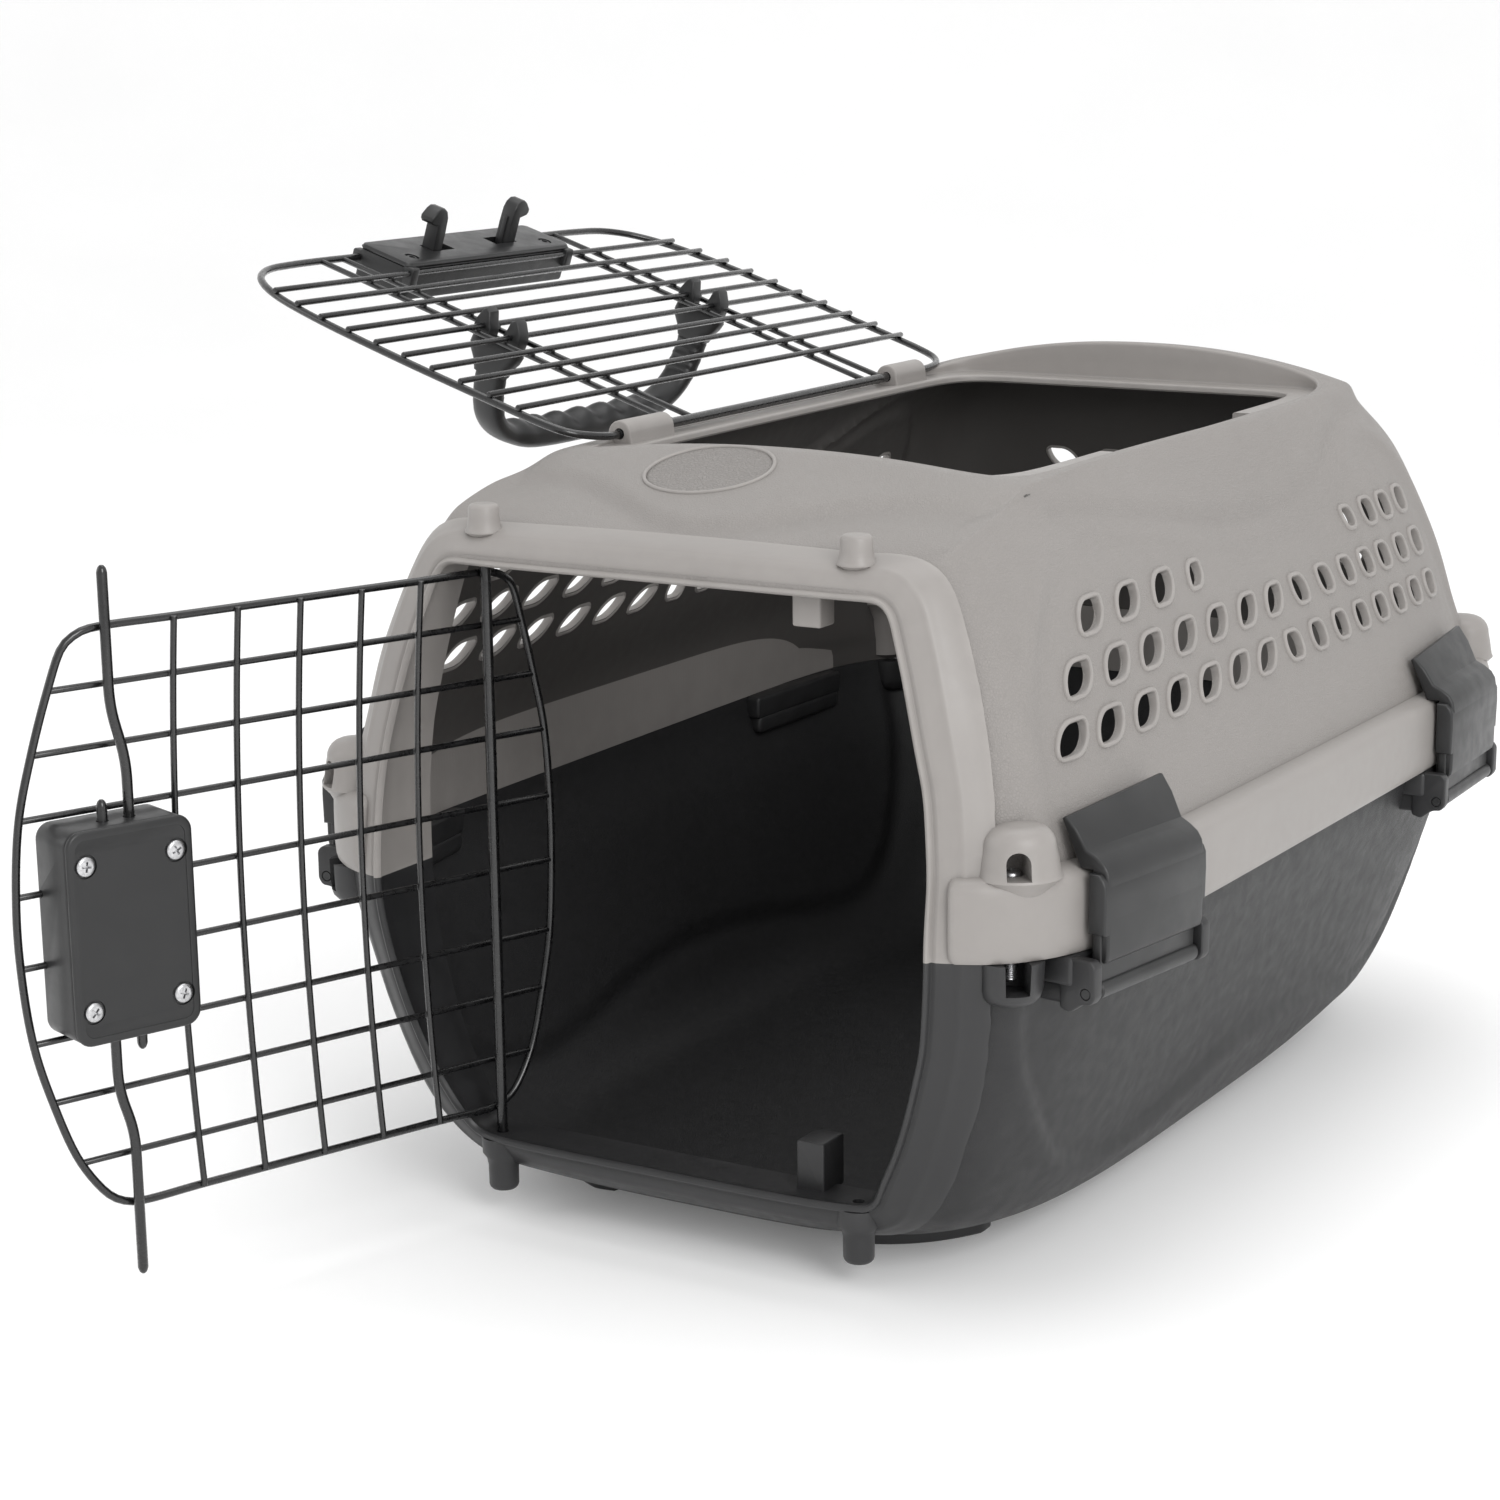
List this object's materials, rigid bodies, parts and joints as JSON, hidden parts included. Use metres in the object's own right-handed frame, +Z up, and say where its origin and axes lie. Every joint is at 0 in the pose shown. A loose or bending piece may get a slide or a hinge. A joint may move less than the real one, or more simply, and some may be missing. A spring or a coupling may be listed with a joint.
{
  "type": "pet transport carrier",
  "caption": "Two-piece barrel-shaped plastic pet carrier with a hinged wire front door, a hinged wire top door with carry handle, sprung bolts and side clamp latches.",
  "frame": {"origin": "floor level under the plan centre of the body", "axes": "+Z up, the front door faces -Y, +X to the right seen from the front"},
  "size_m": [0.5561, 0.7893, 0.4476],
  "materials": {
    "shell_light": "fine leather grain on the walls, smooth satin on rims and flange",
    "shell_dark": "fine grain charcoal",
    "hardware_dark": "satin charcoal",
    "wire_black": "glossy black coating over steel wire",
    "zinc": "bright zinc plated",
    "spring_steel": "drawn spring wire"
  },
  "bodies": {
    "shell": {"top_shell": "shell_light", "bottom_shell": "shell_dark", "corner_bolts": "zinc"},
    "front_door": {"front_door_grid": "wire_black", "front_door_hinge_rod": "wire_black", "door_latch_housing": "hardware_dark", "door_latch_cover": "hardware_dark", "door_latch_screws": "zinc", "door_latch_spring": "spring_steel"},
    "upper_bolt_set": {"upper_bolt": "wire_black", "upper_bolt_slider": "hardware_dark"},
    "lower_bolt_set": {"lower_bolt": "wire_black", "lower_bolt_slider": "hardware_dark"},
    "top_door": {"top_door_grid": "wire_black", "top_door_hinge_rod": "wire_black", "top_latch_housing": "hardware_dark", "top_latch_cover": "hardware_dark", "top_latch_screws": "zinc", "top_latch_spring": "spring_steel", "carry_handle": "hardware_dark"},
    "hook_front": {"top_latch_hook_front": "hardware_dark"},
    "hook_rear": {"top_latch_hook_rear": "hardware_dark"},
    "latch_front_right": {"side_latch_front_right": "hardware_dark"},
    "latch_front_left": {"side_latch_front_left": "hardware_dark"},
    "latch_rear_right": {"side_latch_rear_right": "hardware_dark"},
    "latch_rear_left": {"side_latch_rear_left": "hardware_dark"}
  },
  "joints": [
    {"name": "front_door_hinge", "type": "hinge", "parent": "shell", "child": "front_door", "pos_m": [-0.095, -0.2674, 0.177], "axis": [0, 0, 1], "range_deg": [-15, 110]},
    {"name": "upper_bolt_slide", "type": "slide", "parent": "front_door", "child": "upper_bolt_set", "axis": [0, 0, -1], "range_m": [0, 0.022], "stiffness_N_per_m": 120, "springref_m": -0.02, "deforming": ["door_latch_spring"]},
    {"name": "lower_bolt_slide", "type": "slide", "parent": "front_door", "child": "lower_bolt_set", "axis": [0, 0, 1], "range_m": [0, 0.022], "stiffness_N_per_m": 120, "springref_m": -0.02, "deforming": ["door_latch_spring"]},
    {"name": "top_door_hinge", "type": "hinge", "parent": "shell", "child": "top_door", "pos_m": [-0.113, 0.025, 0.349], "axis": [0, 1, 0], "range_deg": [0, 161.6]},
    {"name": "top_hook_front_slide", "type": "slide", "parent": "top_door", "child": "hook_front", "axis": [0, 1, 0], "range_m": [0, 0.009], "stiffness_N_per_m": 120, "springref_m": -0.01, "deforming": ["top_latch_spring"]},
    {"name": "top_hook_rear_slide", "type": "slide", "parent": "top_door", "child": "hook_rear", "axis": [0, -1, 0], "range_m": [0, 0.009], "stiffness_N_per_m": 120, "springref_m": -0.01},
    {"name": "latch_front_right_hinge", "type": "hinge", "parent": "shell", "child": "latch_front_right", "pos_m": [0.20592, -0.21527, 0.148], "axis": [0.1562, 0.9877, 0], "range_deg": [0, 100]},
    {"name": "latch_front_left_hinge", "type": "hinge", "parent": "shell", "child": "latch_front_left", "pos_m": [-0.20592, -0.21527, 0.148], "axis": [0.1562, -0.9877, 0], "range_deg": [0, 100]},
    {"name": "latch_rear_right_hinge", "type": "hinge", "parent": "shell", "child": "latch_rear_right", "pos_m": [0.2147, 0.17414, 0.148], "axis": [-0.0235, 0.9997, 0], "range_deg": [0, 100]},
    {"name": "latch_rear_left_hinge", "type": "hinge", "parent": "shell", "child": "latch_rear_left", "pos_m": [-0.2147, 0.17414, 0.148], "axis": [-0.0235, -0.9997, 0], "range_deg": [0, 100]}
  ]
}
